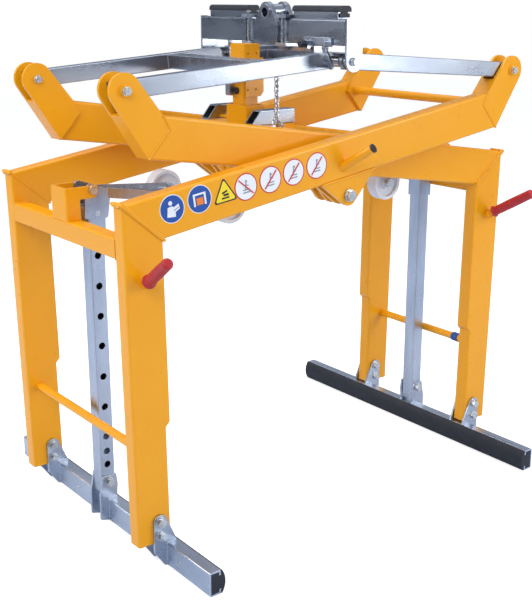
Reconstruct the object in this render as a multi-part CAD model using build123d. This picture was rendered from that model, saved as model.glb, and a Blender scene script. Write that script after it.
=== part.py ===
"""Scissor-action pack grab: two crossed arms close a pair of rubber-faced jaws when the head is lifted.

X is the clamping direction, Y runs along the jaws and Z is up. The origin is on the ground,
midway between the jaws. Arm A has its legs on the -X side, arm B is its mirror image and
lies between the two halves of arm A.
"""
from build123d import *
from math import acos, atan2, cos, degrees, hypot, radians, sin, tan
import os

# ---- overall ----
pivot_height = 1030.0      # scissor pivot above the ground
rest_lean = 0.8            # degrees each arm is turned inwards when the grab stands open
wall = 5.0                 # wall of the arm box sections
pin_gap = 0.08             # radial running clearance of every pin
side_gap = 1.0             # clearance beside each swinging piece

# ---- arms ----
arm_thickness = 52.0       # box section width along Y
outer_half = 371.0         # outer face of arm A
inner_half = 294.0         # outer face of arm B
leg_outer = 797.0          # outer face of a leg from the pivot
leg_width = 124.0          # upper part of a leg
shell_step = 14.0          # how far the upper part is wider on its inner side
step_depth = 568.0         # that step, below the pivot
leg_depth = 939.0          # foot of the leg, below the pivot
beam_height = 124.0
beam_angle = 8.0
beam_rise = 56.5           # underside of the beam above the pivot
corner_radius = 8.0
mitre_plate = 8.0
mitre_overhang = 5.0
lug_plate = 12.0
lug_radius = 33.0
lug_half_width = 108.0
pivot_pin = 10.0           # radius

# ---- ears ----
ear_x = 736.0
ear_z = 338.0
ear_angle = 51.2
ear_width = 96.0
ear_plate = 10.0
ear_depth = 66.0           # over both plates
ear_flange = 72.0          # the upper flange stops this far below the bolt
ear_flange_outer = 45.0    # and the outer one this far
ear_foot = 667.0           # where the ear meets the underside of the beam
ear_corner = (598.0, 231.0)
ear_boss = 17.0            # radius
ear_boss_height = 6.0
ear_pin = 6.5              # radius

# ---- cross members of an arm ----
cross_height = 58.0
cross_depth = 50.0
cross_top = 26.0           # below the pivot
cross_wall = 4.0
tie_radius = 13.5
tie_depth = 650.0          # below the pivot
tie_inset = 40.0           # from the outer face of the leg
ear_tube_radius = 15.0
ear_tube_x = 640.0
ear_tube_z = 232.0

# ---- handles ----
handle_inset = 60.0        # from the outer face of the leg
handle_depth = 156.0       # below the pivot
handle_radius = 10.0
grip_radius = 16.5
handle_lean = (-0.15, -0.84, 0.50)
grip_start = 34.0
grip_length = 168.0
side_handle_x = -24.0
side_handle_radius = 14.0
side_handle_length = 116.0
side_handle_lean = (0.29, -0.80, 0.53)

# ---- guide bracket, guide frame and rollers ----
bracket_room = 3.0         # between the bracket and the guide frame
bracket_plate = 9.0
bracket_top = 70.0         # above the pivot
guide_x = 711.0
guide_z = 58.0
guide_pin = 8.0            # radius
guide_plate = 6.0
tray_depth = 22.0
roller_x = 325.0
roller_z = -17.0
roller_y = 184.0
roller_radius = 59.0
roller_width = 42.0
axle_radius = 10.0

# ---- strut ----
strut_side = 50.0
strut_wall = 4.0
strut_x = 690.0
strut_foot = 893.0         # lower pin below the pivot
strut_head = -26.0         # upper pin above the pivot
strut_hole = 11.0          # radius
hole_first = 156.0         # first hole below the pivot
hole_steps = (0, 95, 95, 95, 100, 100, 100, 50, 45)
sleeve_wall = 5.0
sleeve_side = strut_side + 2 * sleeve_wall
bracket_half = sleeve_side / 2 + guide_plate + bracket_room + bracket_plate
sleeve_depth = 128.0       # lower end of the sleeve below the pivot
strut_pin = 8.0            # radius
strut_slack = 0.6          # radial play of the upper pin, which takes up the change of length

# ---- jaws ----
jaw_length = 1200.0
jaw_height = 75.0
rail_outer = 695.0
rail_depth = 38.0
rail_wall = 5.0
rail_lip = 16.0
rubber_bulge = 16.0
jaw_bolt_x = 727.0
jaw_bolt_depth = 872.0     # upper bracket bolt below the pivot
jaw_bolt_pitch = 46.0
jaw_bolt = 8.0             # radius
jaw_swing = 6.5            # degrees of room the lower bracket bolt has in its slot
bracket_thick = 8.0
bracket_head = 22.0        # radius round the upper bolt

# ---- links ----
link_height = 50.0
link_width = 40.0
link_wall = 4.0
link_tongue = 14.0
tongue_radius = 21.7
tongue_root = 95.0         # the tongue reaches this far into its bar
slot_travel = 11.0         # length of the link slot beyond the bolt diameter
slot_rise = 7.0            # the same upwards
link_cross_x = 235.0
link_cross_side = 46.0

# ---- head ----
head_pivot = 402.0         # link bolts above the scissor pivot
head_over = 11.0           # the head stands this far outside arm A
head_half = outer_half + head_over
head_width = 66.0
head_floor = 448.0
head_ceiling = 524.0
head_wall = 5.0
head_inner = 116.0
end_plate = 8.0
end_plate_width = 62.0
link_pin = 8.0             # radius
lug_gap = 50.0             # between the two suspension plates
lug_thick = 15.0
lug_height = 541.0
lug_bore = 15.0            # radius
bush_radius = 25.0
bush_length = 88.0
lug_top_radius = 32.0
lug_width = 124.0
buffer_inner = 122.0
buffer_inset = 50.0        # from the end of the head
buffer_outer = head_half - buffer_inset
buffer_width = 48.0
buffer_crown = 18.0        # rubber above its rail
clamp_thick = 10.0
clamp_rod = 6.0            # radius
clamp_rod_x = 40.0
clamp_rod_y = (lug_width / 2 + head_inner) / 2

# ---- latch unit and centre bridge ----
latch_x = -122.0
carrier_foot = head_floor - 22.0
housing_x = 58.0
housing_y = 62.0
housing_foot = 150.0       # above the scissor pivot
wing_foot = 282.0
wing_top = 402.0
lock_y = 18.0
lock_foot = 284.0
bumper_y = -214.0
bumper_radius = 11.0
socket_x = 72.0
socket_y = 110.0
socket_foot = 112.0
socket_top = 256.0
bridge_side = 60.0
bridge_x = -45.0
bridge_foot = 122.0
bridge_plate = 8.0
rest_height = 46.0
rest_width = 40.0
rest_y = 119.0
rest_foot = 203.0
rest_from = -202.0
rest_to = -30.0
rest_wall = 4.0
rest_bevel = 39.0          # run of the slanting cut

# ---- chain ----
chain_x = -170.0
chain_y = -226.0
chain_eye = 366.0          # above the scissor pivot
chain_links = 8
chain_wire = 2.6           # radius
chain_long = 26.0
chain_wide = 17.0
eye_rod = 2.4              # radius of the peg that the chain hangs on
ring_radius = 16.0

os.makedirs("parts", exist_ok=True)
front, back = -1, 1


def save(name, shapes):
    """Write one node, raised so that the ground is at zero."""
    solids = []
    for shape in (shapes if isinstance(shapes, (list, tuple)) else [shapes]):
        solids += [Pos(0, 0, pivot_height) * solid for solid in shape.solids()]
    export_step(Compound(solids) if len(solids) > 1 else solids[0], f"parts/{name}.step")


def face_xz(sketch, y):
    """A sketch in X and Z, put at one Y."""
    return Plane(origin=(0, y, 0), x_dir=(1, 0, 0), z_dir=(0, -1, 0)) * sketch


def slab(sketch, y0, y1):
    """A plate with an outline in X and Z, from y0 to y1."""
    low, high = min(y0, y1), max(y0, y1)
    return extrude(face_xz(sketch, low), amount=low - high)


def polygon(*points):
    return make_face(Polyline(*points, close=True))


def disc(x, z, radius):
    return Pos(x, z) * Circle(radius)


def hull_of(*sketches):
    edges = [edge for sketch in sketches for edge in sketch.edges()]
    return make_hull(edges)


def pin(x, z, y0, y1, radius):
    """A round bar along Y."""
    return slab(disc(x, z, radius), y0, y1)


def hex_head(x, z, y0, y1, across):
    return slab(Pos(x, z) * RegularPolygon(across / 2, 6, major_radius=False), y0, y1)


def box(x0, x1, y0, y1, z0, z1):
    """A block between two X, two Y and two Z."""
    middle = Pos((x0 + x1) / 2, (y0 + y1) / 2, (z0 + z1) / 2)
    return middle * Box(abs(x1 - x0), abs(y1 - y0), abs(z1 - z0))


def bar_x(x, y, z, radius, length):
    """A round bar along X, centred on a point."""
    return Pos(x, y, z) * Rot(0, 90, 0) * Cylinder(radius, length)


def bar_z(x, y, z, radius, length):
    """An upright round bar, centred on a point."""
    return Pos(x, y, z) * Cylinder(radius, length)


def edges_near(shape, along, across, place):
    """The edges along one axis that lie at one place on another."""
    return shape.edges().filter_by(along).filter_by_position(across, place - 1, place + 1)


def bolt(x, z, side, inside, outside, radius):
    """A bolt along Y: shank from inside to outside, washer and head beyond outside, nut beyond inside."""
    head = 0.65 * 2 * radius
    across = 3.0 * radius
    shape = pin(x, z, side * (inside - head), side * (outside + head), radius)
    shape += pin(x, z, side * outside, side * (outside + 3), 1.9 * radius)
    shape += hex_head(x, z, side * (outside + 3), side * (outside + 3 + head), across)
    shape += pin(x, z, side * inside, side * (inside - 3), 1.9 * radius)
    return shape + hex_head(x, z, side * (inside - 3), side * (inside - 3 - head), across)


def leaned(shape):
    """Arm A turned about the pivot to its place in the open grab."""
    return Rot(0, -rest_lean, 0) * shape


def leaned_point(x, z):
    """Where a point of the upright arm A lies in the open grab."""
    turn = radians(rest_lean)
    return x * cos(turn) - z * sin(turn), z * cos(turn) + x * sin(turn)


def mirrored(shapes):
    """The same pieces on the other side of the grab."""
    group = shapes if isinstance(shapes, (list, tuple)) else [shapes]
    return [mirror(shape, about=Plane.YZ) for shape in group]


# ---- lines of the arm outline, in the upright arm ----
slope = tan(radians(beam_angle))
beam_drop = beam_height / cos(radians(beam_angle))
leg_inner = -leg_outer + leg_width


def under(x):
    """Underside of the beam."""
    return beam_rise + slope * x


def over(x):
    """Top of the beam."""
    return under(x) + beam_drop


mitre_out = (-leg_outer, over(-leg_outer))
mitre_in = (leg_inner, under(leg_inner))
ear_dir = (cos(radians(ear_angle)), sin(radians(ear_angle)))
ear_normal = (ear_dir[1], -ear_dir[0])


def ear_line(offset, base):
    """Where an edge of the ear, offset from its centre line, meets a line of the beam."""
    x0, z0 = ear_x + offset * ear_normal[0], ear_z + offset * ear_normal[1]
    run = (z0 - base(x0)) / (ear_dir[1] - slope * ear_dir[0])
    return x0 - run * ear_dir[0], z0 - run * ear_dir[1]


ear_upper = ear_line(-ear_width / 2, over)
ear_lower = (ear_foot, under(ear_foot))


def arm_side(half, side):
    """Y of the outer and the inner face of an arm box section."""
    return side * half, side * (half - arm_thickness)


def mitre_slab(y0, y1, overhang):
    """The plate welded between leg and beam, standing out past both by an overhang."""
    run = (mitre_in[0] - mitre_out[0], mitre_in[1] - mitre_out[1])
    length = hypot(*run)
    unit = (run[0] / length, run[1] / length)
    across = (-unit[1] * mitre_plate / 2, unit[0] * mitre_plate / 2)
    ends = [(mitre_out[0] - overhang * unit[0], mitre_out[1] - overhang * unit[1]),
            (mitre_in[0] + overhang * unit[0], mitre_in[1] + overhang * unit[1])]
    upper_edge = [(x + across[0], z + across[1]) for x, z in ends]
    lower_edge = [(x - across[0], z - across[1]) for x, z in reversed(ends)]
    return slab(polygon(*upper_edge, *lower_edge), y0, y1)


def leg(half, side):
    """Vertical box section, open at its foot, stepped on its inner side."""
    outer, inner = arm_side(half, side)
    narrow = leg_inner - shell_step
    outline = polygon((-leg_outer, -leg_depth), (narrow, -leg_depth), (narrow, -step_depth - shell_step),
                      (leg_inner, -step_depth), mitre_in, mitre_out)
    shape = slab(outline, outer, inner)
    long_edges = shape.edges().filter_by(Axis.Z)
    shape = fillet(long_edges, corner_radius)
    shape -= mitre_slab(outer + side, inner - side, 40)
    y0, y1 = outer - side * wall, inner + side * wall
    shape -= box(-leg_outer + wall, narrow - wall, y0, y1, -leg_depth - 1, mitre_in[1] - 12)
    upper, lower = jaw_pins()
    across = (outer + side, inner - side)
    shape -= pin(*upper, *across, jaw_bolt + pin_gap)
    reach = jaw_bolt_pitch * sin(radians(jaw_swing)) + 1
    slot = hull_of(*[disc(lower[0] + end, lower[1], jaw_bolt + 1) for end in (-reach, reach)])
    return shape - slab(slot, *across)


def beam(half, side):
    """Sloping box section from the mitre to the ear."""
    outer, inner = arm_side(half, side)
    outline = polygon(mitre_out, mitre_in, ear_lower, ear_corner, ear_upper)
    shape = slab(outline, outer, inner)
    long_edges = [edge for edge in shape.edges() if abs(edge.tangent_at(0.5).X) > 0.9]
    shape = fillet(long_edges, corner_radius)
    shape -= mitre_slab(outer + side, inner - side, 40)
    x0, x1 = mitre_in[0] - 40, ear_corner[0] - wall
    hollow = polygon((x0, under(x0) + wall), (x1, under(x1) + wall),
                     (x1, over(x1) - wall), (x0, over(x0) - wall))
    return shape - slab(hollow, outer - side * wall, inner + side * wall)


def ear_point(run, offset):
    """A point of the ear, along its centre line from the bolt and across it."""
    return (ear_x + run * ear_dir[0] + offset * ear_normal[0],
            ear_z + run * ear_dir[1] + offset * ear_normal[1])


def between(first, second, distance):
    """The point at a distance from one point towards another."""
    share = distance / hypot(second[0] - first[0], second[1] - first[1])
    return first[0] + share * (second[0] - first[0]), first[1] + share * (second[1] - first[1])


def lower_tangent():
    """Where the lower edge of the ear meets its rounded end."""
    reach = hypot(ear_x - ear_lower[0], ear_z - ear_lower[1])
    heading = atan2(ear_lower[1] - ear_z, ear_lower[0] - ear_x) + acos(ear_width / 2 / reach)
    return ear_x + ear_width / 2 * cos(heading), ear_z + ear_width / 2 * sin(heading)


def ear(half, side):
    """Two rounded side plates on a short inclined box, a clevis for the link."""
    outer = side * half
    inner = side * (half - ear_depth)
    wide = ear_width / 2
    start = lower_tangent()
    straight = Polyline(ear_point(0, -wide), ear_upper, ear_corner, ear_lower, start)
    rounding = ThreePointArc(start, ear_point(wide, 0), ear_point(0, -wide))
    shape = slab(make_face([*straight.edges(), *rounding.edges()]), outer, inner)
    y0, y1 = outer - side * ear_plate, inner + side * ear_plate
    room = polygon(between(ear_upper, ear_lower, ear_plate), between(ear_lower, ear_upper, ear_plate),
                   between(start, (ear_x, ear_z), ear_plate), ear_point(0, ear_plate - wide))
    shape -= slab(room, y0, y1)
    mouth = polygon(ear_point(-ear_flange, -2 * wide), ear_point(-ear_flange, 0),
                    ear_point(-ear_flange_outer, 0), ear_point(-ear_flange_outer, 2 * wide),
                    ear_point(2 * wide, 2 * wide), ear_point(2 * wide, -2 * wide))
    shape -= slab(mouth, y0, y1)
    shape += pin(ear_x, ear_z, outer, outer + side * ear_boss_height, ear_boss)
    return shape - pin(ear_x, ear_z, outer + side * 20, inner - side * 20, ear_pin + pin_gap)


def pivot_lugs(half, side):
    """Two triangular plates under the beam that carry the scissor pivot."""
    outer, inner = arm_side(half, side)
    top = [(x, under(x)) for x in (lug_half_width, -lug_half_width)]
    outline = hull_of(disc(0, 0, lug_radius), polygon(*top, (0, 0)))
    wide = 2 * lug_half_width
    outline &= polygon((-wide, -lug_radius - 1), (wide, -lug_radius - 1),
                       (wide, under(wide)), (-wide, under(-wide)))
    plates = []
    for start, way in ((outer, -side), (inner, side)):
        plate = slab(outline, start, start + way * lug_plate)
        plates.append(plate - pin(0, 0, start - 30, start + 30, pivot_pin + pin_gap))
    return plates


def jaw_pins():
    """The two bracket bolts, in the upright arm."""
    return (-jaw_bolt_x, -jaw_bolt_depth), (-jaw_bolt_x, -jaw_bolt_depth - jaw_bolt_pitch)


def cross_tube(half):
    """Rectangular tube between the legs, flush with their outer faces."""
    inner = half - arm_thickness
    x0, x1 = -leg_outer, -leg_outer + cross_depth
    z0, z1 = -cross_top - cross_height, -cross_top
    tube = box(x0, x1, -inner, inner, z0, z1)
    tube = fillet(tube.edges().filter_by(Axis.Y), 5)
    wall = cross_wall
    return tube - box(x0 + wall, x1 - wall, -inner - 1, inner + 1, z0 + wall, z1 - wall)


def round_bars(half):
    """Tie bar low between the legs and, on the outer arm, the tube between the ears."""
    inner = half - arm_thickness
    tie = pin(-leg_outer + tie_inset, -tie_depth, -inner, inner, tie_radius)
    if half == inner_half:
        return [tie]
    ear_inner = half - ear_depth
    brace = pin(ear_tube_x, ear_tube_z, -ear_inner, ear_inner, ear_tube_radius)
    brace -= pin(ear_tube_x, ear_tube_z, -ear_inner - 1, ear_inner + 1, ear_tube_radius - 3)
    return [tie, brace]


def guide_bracket():
    """U-shaped bracket on the cross tube that holds the guide frame's hinge bolt."""
    back_x = -leg_outer
    arm_low = guide_z - 24
    tip_x = -guide_x + 18
    cheek = polygon((back_x, -cross_top), (back_x + 46, -cross_top), (back_x + 46, arm_low),
                    (tip_x - 12, arm_low), (tip_x, arm_low + 12), (tip_x, bracket_top), (back_x, bracket_top))
    shape = box(back_x, back_x + bracket_plate, -bracket_half, bracket_half, -cross_top, bracket_top)
    for side in (front, back):
        shape += slab(cheek, side * bracket_half, side * (bracket_half - bracket_plate))
    shape = fillet(edges_near(shape, Axis.Z, Axis.X, back_x), 7)
    return shape - pin(-guide_x, guide_z, -bracket_half - 1, bracket_half + 1, guide_pin + pin_gap)


def carry_handle(half):
    """Short tube standing out of the leg, and its grip."""
    stub_x = -leg_outer + handle_inset
    along = Plane(origin=(stub_x, -half, -handle_depth), z_dir=handle_lean)
    leg_side = box(stub_x - 60, stub_x + 60, -half, -half + 60, -handle_depth - 60, -handle_depth + 60)
    core_end = grip_start + grip_length - 18
    core = along * Pos(0, 0, (core_end - 20) / 2) * Cylinder(handle_radius, core_end + 20)
    collar = along * Pos(0, 0, 14) * Cylinder(handle_radius + 4, 12)
    grip = along * Pos(0, 0, grip_start + grip_length / 2) * Cylinder(grip_radius, grip_length)
    grip = fillet(grip.edges(), 5)
    return (core + collar) - leg_side, grip - core


def side_handle(half):
    """Plain tube on the front beam near the pivot, with a plug in its end."""
    base_z = under(side_handle_x) + 38
    base = Plane(origin=(side_handle_x, -half, base_z), z_dir=side_handle_lean)
    beam_side = box(side_handle_x - 80, side_handle_x + 80, -half, -half + 90, base_z - 150, base_z + 150)
    bore = side_handle_radius - 3.5
    end, plug_depth = side_handle_length, 18
    tube = base * Pos(0, 0, (end - 20) / 2) * Cylinder(side_handle_radius, end + 20) - beam_side
    tube -= base * Pos(0, 0, end) * Cylinder(bore, 2 * plug_depth)
    plug = base * Pos(0, 0, end - plug_depth / 2 + 1) * Cylinder(bore, plug_depth + 2)
    return tube, plug + base * Pos(0, 0, end + 2.5) * Cylinder(side_handle_radius, 5)


def ear_bolts(half):
    inside, outside = half - ear_depth, half + ear_boss_height
    return [bolt(ear_x, ear_z, side, inside, outside, ear_pin) for side in (front, back)]


def arm(name, half, turn):
    """All the pieces of one arm; turn places them on their own side."""
    def put(node, shapes):
        group = shapes if isinstance(shapes, (list, tuple)) else [shapes]
        save(f"{name}_{node}", turn([leaned(shape) for shape in group]))

    sides = (front, back)
    put("legs", [leg(half, side) for side in sides])
    put("beams", [beam(half, side) for side in sides])
    plates = []
    for side in sides:
        outside, inside = side * (half + mitre_overhang), side * (half - arm_thickness - 2)
        plates.append(mitre_slab(outside, inside, mitre_overhang))
        plates += pivot_lugs(half, side)
    put("plates", plates)
    put("ears", [ear(half, side) for side in sides])
    put("cross_tube", cross_tube(half))
    put("round_bars", round_bars(half))
    put("guide_bracket", guide_bracket())
    put("ear_bolts", ear_bolts(half))
    stub, grip = carry_handle(half)
    put("handle", stub)
    put("grip", grip)
    if half == outer_half:
        tube, plug = side_handle(half)
        put("side_handle", tube)
        put("side_handle_plug", plug)


# ---- jaws ----
jaw_top = -pivot_height + jaw_height
rail_inner = rail_outer - rail_depth


def jaw_rail():
    """C-shaped rail, open towards the load, with lips that hold the rubber."""
    half = jaw_length / 2
    shape = box(-rail_outer, -rail_inner, -half, half, -pivot_height, jaw_top)
    shape = fillet(edges_near(shape, Axis.Y, Axis.X, -rail_outer), 6)
    inside = box(-rail_outer + rail_wall, -rail_inner - rail_wall, -half - 1, half + 1,
                 -pivot_height + rail_wall, jaw_top - rail_wall)
    mouth = box(-rail_inner - rail_wall, -rail_inner + 1, -half - 1, half + 1,
                -pivot_height + rail_lip, jaw_top - rail_lip)
    return shape - inside - mouth


def jaw_rubber():
    """Rubber profile: a foot behind the lips, a neck between them and a domed face."""
    half = jaw_length / 2
    gap = 0.3
    foot = box(-rail_outer + rail_wall, -rail_inner - rail_wall - gap, -half, half,
               -pivot_height + rail_wall, jaw_top - rail_wall)
    neck = box(-rail_inner - rail_wall - gap, -rail_inner + gap, -half, half,
               -pivot_height + rail_lip + gap, jaw_top - rail_lip - gap)
    mid = -pivot_height + jaw_height / 2
    x0, x1 = -rail_inner + gap, -rail_inner + rubber_bulge
    arc = ThreePointArc((x0 + 4, jaw_top - 1), (x1, mid), (x0 + 4, -pivot_height + 1))
    edge = Polyline((x0 + 4, -pivot_height + 1), (x0, -pivot_height + 1),
                    (x0, jaw_top - 1), (x0 + 4, jaw_top - 1))
    return slab(make_face([*arc.edges(), *edge.edges()]), -half, half) + foot + neck


upper_bolt, lower_bolt = (leaned_point(*point) for point in jaw_pins())
clevis_pin = (-strut_x, -strut_foot)


def jaw_brackets(half):
    """A pair of plates on each leg and a clevis for the strut, all welded to the rail."""
    plates = []
    foot_low = -pivot_height + 4
    head_disc = disc(*upper_bolt, bracket_head)
    outer_part = polygon((upper_bolt[0] - bracket_head, jaw_top - 21), (-rail_outer - 8, foot_low),
                         (-rail_outer, foot_low), (-rail_outer, jaw_top), upper_bolt)
    upper_part = polygon(upper_bolt, (-rail_outer, jaw_top), (-rail_inner - 6, jaw_top),
                         (-rail_inner - 6, jaw_top + 6))
    outline = hull_of(head_disc, outer_part) + hull_of(head_disc, upper_part)
    outline -= polygon((-rail_outer, foot_low - 50), (0, foot_low - 50), (0, jaw_top), (-rail_outer, jaw_top))
    for side in (front, back):
        for face in (half + side_gap, half - arm_thickness - side_gap - bracket_thick):
            plate = slab(outline, side * face, side * (face + bracket_thick))
            for point in (upper_bolt, lower_bolt):
                plate -= pin(*point, side * (face - 5), side * (face + bracket_thick + 5), jaw_bolt)
            plates.append(plate)
    grip = strut_side / 2 + side_gap
    top = clevis_pin[1] + 20
    cheek = polygon((-rail_outer - 30, foot_low + 8), (-rail_outer, foot_low), (-rail_outer, jaw_top),
                    (-rail_inner - 8, jaw_top), (-rail_inner - 8, jaw_top + 8),
                    (-rail_inner - 4, jaw_top + 48), (-rail_inner - 8, top),
                    (-strut_x - 22, top), (-strut_x - 34, top - 60))
    for side in (front, back):
        plate = slab(cheek, side * grip, side * (grip + bracket_thick))
        plates.append(plate - pin(*clevis_pin, -grip - 20, grip + 20, strut_pin))
    return plates


def jaw_bolts(half):
    """Two bolts through each leg and the pin through the foot of the strut."""
    bolts = []
    for side in (front, back):
        inside = half - arm_thickness - side_gap - bracket_thick
        outside = half + side_gap + bracket_thick
        bolts += [bolt(*point, side, inside, outside, jaw_bolt) for point in (upper_bolt, lower_bolt)]
    reach = strut_side / 2 + side_gap + bracket_thick
    return bolts + [bolt(*clevis_pin, front, -reach, reach, strut_pin)]


# ---- struts ----
strut_top_pin = (-strut_x, strut_head)


def strut_tube():
    """Square tube with a row of round holes in one Y face."""
    half = strut_side / 2
    bottom, top = -strut_foot - 34, -sleeve_depth + 70
    shape = box(-strut_x - half, -strut_x + half, -half, half, bottom, top)
    shape = fillet(shape.edges().filter_by(Axis.Z), 4)
    inner = half - strut_wall
    shape -= box(-strut_x - inner, -strut_x + inner, -inner, inner, bottom - 1, top + 1)
    depth = hole_first
    for step in hole_steps:
        depth += step
        shape -= pin(-strut_x, -depth, -half - 1, -inner + 1, strut_hole)
    return shape - pin(*clevis_pin, -half - 1, half + 1, strut_pin + pin_gap)


def strut_sleeve():
    """Larger square tube over the top of the strut, pinned in the guide frame."""
    half = sleeve_side / 2
    top = strut_head + 20
    shape = box(-strut_x - half, -strut_x + half, -half, half, -sleeve_depth, top)
    shape = fillet(shape.edges().filter_by(Axis.Z), 4)
    inner = strut_side / 2
    shape -= fillet(box(-strut_x - inner, -strut_x + inner, -inner, inner, -sleeve_depth - 1,
                        top + 1).edges().filter_by(Axis.Z), 4)
    return shape - pin(*strut_top_pin, -half - 1, half + 1, strut_pin + strut_slack)


# ---- guide frames ----
guide_hinge = leaned_point(-guide_x, guide_z)
roller_at = (-roller_x, roller_z)


def guide_frame():
    """Clevis end round the sleeve and a tray that widens towards the roller axle."""
    near = sleeve_side / 2 + side_gap
    cheek = hull_of(disc(*guide_hinge, 16), disc(-strut_x - 34, strut_head - 4, 9),
                    disc(-strut_x + 26, strut_head - 8, 9), disc(-strut_x + 30, 14, 12),
                    disc(-strut_x + 30, 34, 12))
    shape = slab(cheek, -near - guide_plate, -near) + slab(cheek, near, near + guide_plate)
    x0, x1 = -strut_x + sleeve_side / 2 + 6, -roller_x - 16
    z0, z1 = 38.0, roller_z + axle_radius + 4
    y0, y1 = near + guide_plate, roller_y - roller_width / 2 - 16
    tray_floor = -tray_depth + guide_plate
    floor_line = polygon((x0, z0 - tray_depth), (x1, z1 - tray_depth),
                         (x1, z1 + tray_floor), (x0, z0 + tray_floor))
    wall_line = polygon((x0, z0 - tray_depth), (x1, z1 - tray_depth), (x1, z1 + 8), (x0, z0 + 8))
    shape += slab(floor_line, -y1, y1) & trapezoid(x0, x1, y0, y1)
    rim = slab(wall_line, -y1 - 1, y1 + 1) & trapezoid(x0, x1, y0, y1)
    shape += rim - trapezoid(x0 - 1, x1 + 1, y0 - guide_plate - 0.3, y1 - guide_plate)
    shape += box(x0 - 24, x0 + guide_plate, -near - guide_plate, near + guide_plate, z0 - 8, z0)
    for side in (front, back):
        foot = polygon((x1 - 34, z1 - 20), (x1 - 34, z1 + 4), (x1, z1))
        lug = hull_of(disc(*roller_at, axle_radius + 9), foot)
        shape += slab(lug, side * y1, side * (y1 - guide_plate))
    shape -= pin(*roller_at, -y1 - 1, y1 + 1, axle_radius)
    shape -= pin(*strut_top_pin, -near - 20, near + 20, strut_pin)
    return shape - pin(*guide_hinge, -near - 20, near + 20, guide_pin)


def trapezoid(x0, x1, y0, y1):
    """Tall block with the plan shape of the guide tray."""
    plan = make_face(Polyline((x0, -y0), (x1, -y1), (x1, y1), (x0, y0), close=True))
    return extrude(Pos(0, 0, -120) * plan, amount=300)


def guide_pins():
    """Roller axle, sleeve pin and the two hinge bolts of a guide frame."""
    reach = roller_y + roller_width / 2
    axle = pin(*roller_at, -reach - 14, reach + 14, axle_radius)
    for side in (front, back):
        axle += hex_head(*roller_at, side * (reach + 4), side * (reach + 16), 28)
        axle += pin(*roller_at, side * (reach + 1), side * (reach + 4), 16)
        axle += pin(*roller_at, side * (reach - roller_width - 8), side * (reach - roller_width - 1), 15)
    near = sleeve_side / 2 + side_gap
    sleeve_pin = pin(*strut_top_pin, -near - guide_plate, near + guide_plate, strut_pin)
    hinges = [pin(*guide_hinge, side * near, side * (bracket_half + 2), guide_pin)
              + hex_head(*guide_hinge, side * (bracket_half + side_gap), side * (bracket_half + 9), 24)
              for side in (front, back)]
    return [axle, sleeve_pin, *hinges]


def roller(side):
    """Nylon wheel with dished faces and a hub."""
    low = roller_y - roller_width / 2
    high = roller_y + roller_width / 2
    wheel = pin(*roller_at, side * low, side * high, roller_radius)
    wheel = fillet(wheel.edges().filter_by(GeomType.CIRCLE), 5)
    for start, end in ((low - 1, low + 10), (high - 10, high + 1)):
        dish = pin(*roller_at, side * start, side * end, roller_radius - 12)
        wheel -= dish - pin(*roller_at, side * start, side * end, 22)
    return wheel - pin(*roller_at, side * (low - 2), side * (high + 2), axle_radius + pin_gap)


# ---- links ----
ear_at = leaned_point(ear_x, ear_z)
link_angle = degrees(atan2(head_pivot - ear_at[1], ear_at[0]))


def link_frame(half):
    """Right-hand link: a bar on each side with a slotted tongue, joined by a cross tube."""
    length = hypot(ear_at[0], head_pivot - ear_at[1])
    mid = half - ear_depth / 2
    high, inner = link_height / 2, link_height / 2 - link_wall
    bars = []
    for side in (front, back):
        y0, y1 = side * (mid - link_width / 2), side * (mid + link_width / 2)
        start = -length + 2
        blank = slab(polygon((start, -high), (24, -high), (24, high), (start + link_height, high)), y0, y1)
        blank = fillet(blank.edges().filter_by(Axis.X), 3)
        step = side * link_wall
        bar = blank - box(-length - 60, 25, y0 + step, y1 - step, -inner, inner)
        bar -= pin(0, 0, y0 - side, y1 + side, ear_pin + pin_gap)
        middle = side * mid
        y0, y1 = middle - link_tongue / 2, middle + link_tongue / 2
        tongue = slab(hull_of(*[disc(-length + x, 0, tongue_radius) for x in (0, tongue_root)]), y0, y1)
        tongue += box(-length + 52, -length + tongue_root, y0, y1, -inner, inner)
        slot_ends = (-slot_travel / 2, slot_travel / 2)
        slot = hull_of(*[disc(-length + x, 0, link_pin + slot_rise / 2) for x in slot_ends])
        bars.append(bar + tongue - slab(slot, middle - 20, middle + 20))
    reach = mid - link_width / 2
    x, high = -length + link_cross_x, link_cross_side / 2
    inner = high - link_wall
    cross = box(x - high, x + high, -reach, reach, -high, high)
    cross = fillet(cross.edges().filter_by(Axis.Y), 3)
    cross -= box(x - inner, x + inner, -reach - 1, reach + 1, -inner, inner)
    return [Pos(ear_at[0], 0, ear_at[1]) * (Rot(0, link_angle, 0) * shape) for shape in (*bars, cross)]


# ---- head ----
def head_beams():
    """Folded channel on each side of the suspension plates, open downwards."""
    beams = []
    for side in (front, back):
        y0, y1 = side * head_inner, side * (head_half - end_plate)
        x = head_width / 2
        shape = box(-x, x, y0, y1, head_floor, head_ceiling)
        shape = fillet(edges_near(shape, Axis.Y, Axis.Z, head_ceiling), 6)
        top = head_ceiling - head_wall
        shape -= box(-x + head_wall, x - head_wall, y0 - side, y1 + side, head_floor - 1, top)
        shape += box(-x + 2, x - 2, y0, y0 + side * head_wall, head_floor, head_ceiling - head_wall)
        beams.append(shape)
    return beams


inner_tab_y = inner_half - ear_depth / 2 - link_width / 2 - 14


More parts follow.
